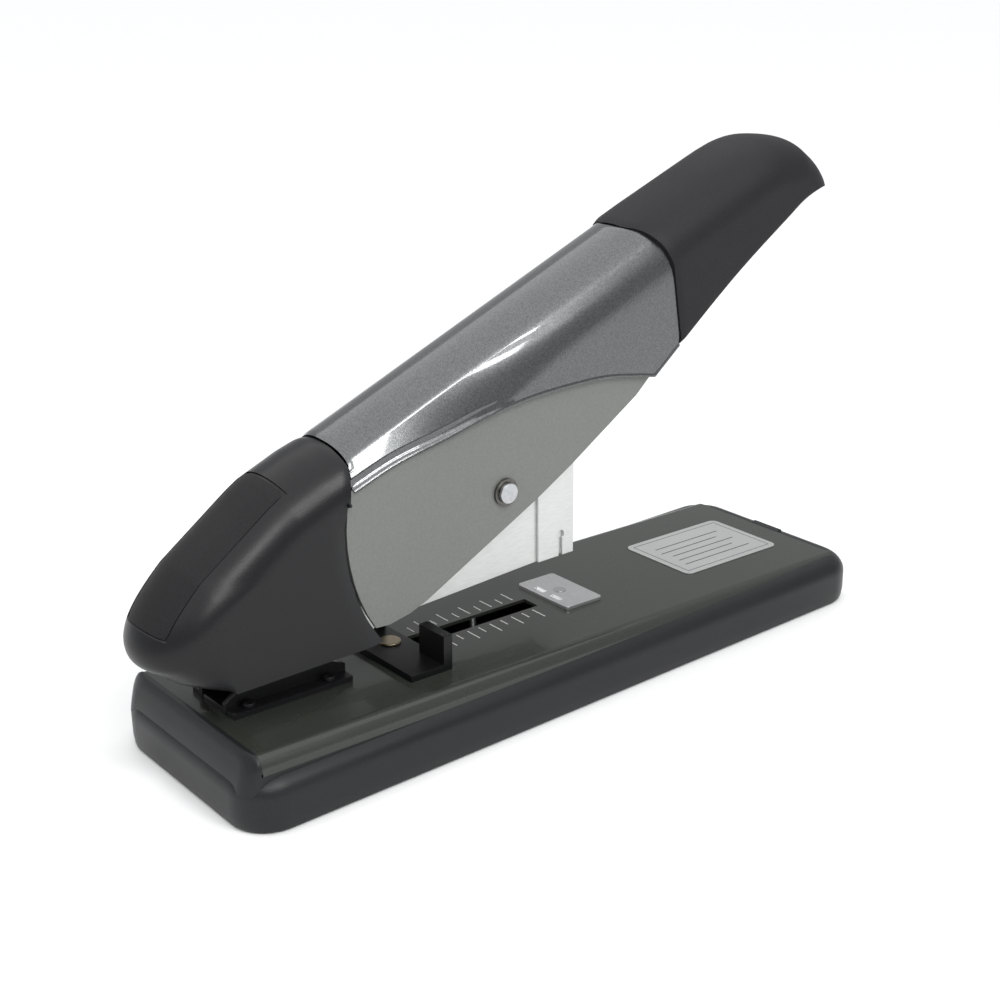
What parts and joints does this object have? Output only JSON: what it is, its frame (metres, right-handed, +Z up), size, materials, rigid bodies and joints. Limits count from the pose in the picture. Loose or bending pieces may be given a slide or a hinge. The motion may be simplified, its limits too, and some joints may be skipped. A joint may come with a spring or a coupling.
{
  "type": "long reach stapler",
  "caption": "Heavy-duty long reach desk stapler: lever handle, sprung arm, drawer magazine and sliding paper guide on a long flat base.",
  "frame": {"origin": "centre of the base's flat underside", "axes": "+X to the mouth and the handle's grip, +Z up, Y across"},
  "size_m": [0.2972, 0.0868, 0.1807],
  "materials": {
    "black_plastic": "fine grained moulded plastic",
    "gloss_black": "satin moulded plastic",
    "insert_black": "matt",
    "guide_plastic": "matt",
    "rubber": "matt",
    "grip_rubber": "matt, fine grain",
    "dark_paint": "gloss",
    "grey_paint": "satin",
    "metallic_paint": "metallic gloss",
    "black_paint": "satin",
    "zinc_sheet": "bright zinc plated",
    "bright_steel": "bright",
    "label_foil": "satin foil",
    "steel": "plain",
    "spring_steel": "drawn wire",
    "brass": "plated"
  },
  "bodies": {
    "base": {"base_shell": "black_plastic", "base_plate": "dark_paint", "bottom_plate": "zinc_sheet", "base_mat": "rubber", "base_screws": "steel", "anvil": "bright_steel", "anvil_rivet": "steel", "label_plate": "label_foil", "pedestal": "black_paint", "pedestal_bolts": "black_paint", "pedestal_nuts": "steel", "arm_pivot_pin": "steel", "arm_spring": "spring_steel"},
    "guide": {"paper_guide": "guide_plastic", "guide_rivet": "brass", "guide_shoe": "zinc_sheet"},
    "arm": {"arm_frame": "zinc_sheet", "nose_housing": "zinc_sheet", "rear_cover": "gloss_black", "cover_insert": "insert_black", "cover_screws": "black_paint", "frame_spacers": "steel", "handle_pin": "steel", "handle_bushes": "steel", "handle_spring": "spring_steel"},
    "magazine": {"magazine_rail": "steel", "magazine_channel": "zinc_sheet", "magazine_pull": "black_plastic", "staple_strip": "bright_steel", "pusher_rod": "steel", "pusher_spring": "spring_steel"},
    "pusher": {"pusher": "black_plastic"},
    "handle": {"handle_lever": "grey_paint", "handle_cover": "metallic_paint", "grip": "grip_rubber", "link_pin": "steel", "pin_washers": "bright_steel", "cover_rivets": "steel"},
    "driver": {"driver_block": "steel", "driver_blade": "spring_steel"}
  },
  "joints": [
    {"name": "arm_pivot", "type": "hinge", "parent": "base", "child": "arm", "pos_m": [-0.108, 0, 0.04], "axis": [0, 1, 0], "range_deg": [0, 9], "stiffness_Nm_per_rad": 2.5, "springref_deg": -40.11, "deforming": ["arm_spring"]},
    {"name": "handle_press", "type": "hinge", "parent": "arm", "child": "handle", "pos_m": [-0.0215, 0, 0.0772], "axis": [0, 1, 0], "range_deg": [0, 28], "stiffness_Nm_per_rad": 1.2, "springref_deg": -34.38, "deforming": ["handle_spring"]},
    {"name": "driver_stroke", "type": "slide", "parent": "arm", "child": "driver", "axis": [0, 0, -1], "range_m": [0, 0.013]},
    {"name": "magazine_draw", "type": "slide", "parent": "arm", "child": "magazine", "axis": [-1, 0, 0], "range_m": [-0.066, 0]},
    {"name": "pusher_feed", "type": "slide", "parent": "magazine", "child": "pusher", "axis": [1, 0, 0], "range_m": [-0.018, 0], "stiffness_N_per_m": 20, "springref_m": 0.05, "deforming": ["pusher_spring"]},
    {"name": "guide_slide", "type": "slide", "parent": "base", "child": "guide", "axis": [0.9997, 0, -0.0245], "range_m": [0, 0.05]}
  ],
  "couplings": [
    {"joint": "driver_stroke", "follows": "handle_press", "m_per_rad": 0.026393}
  ]
}
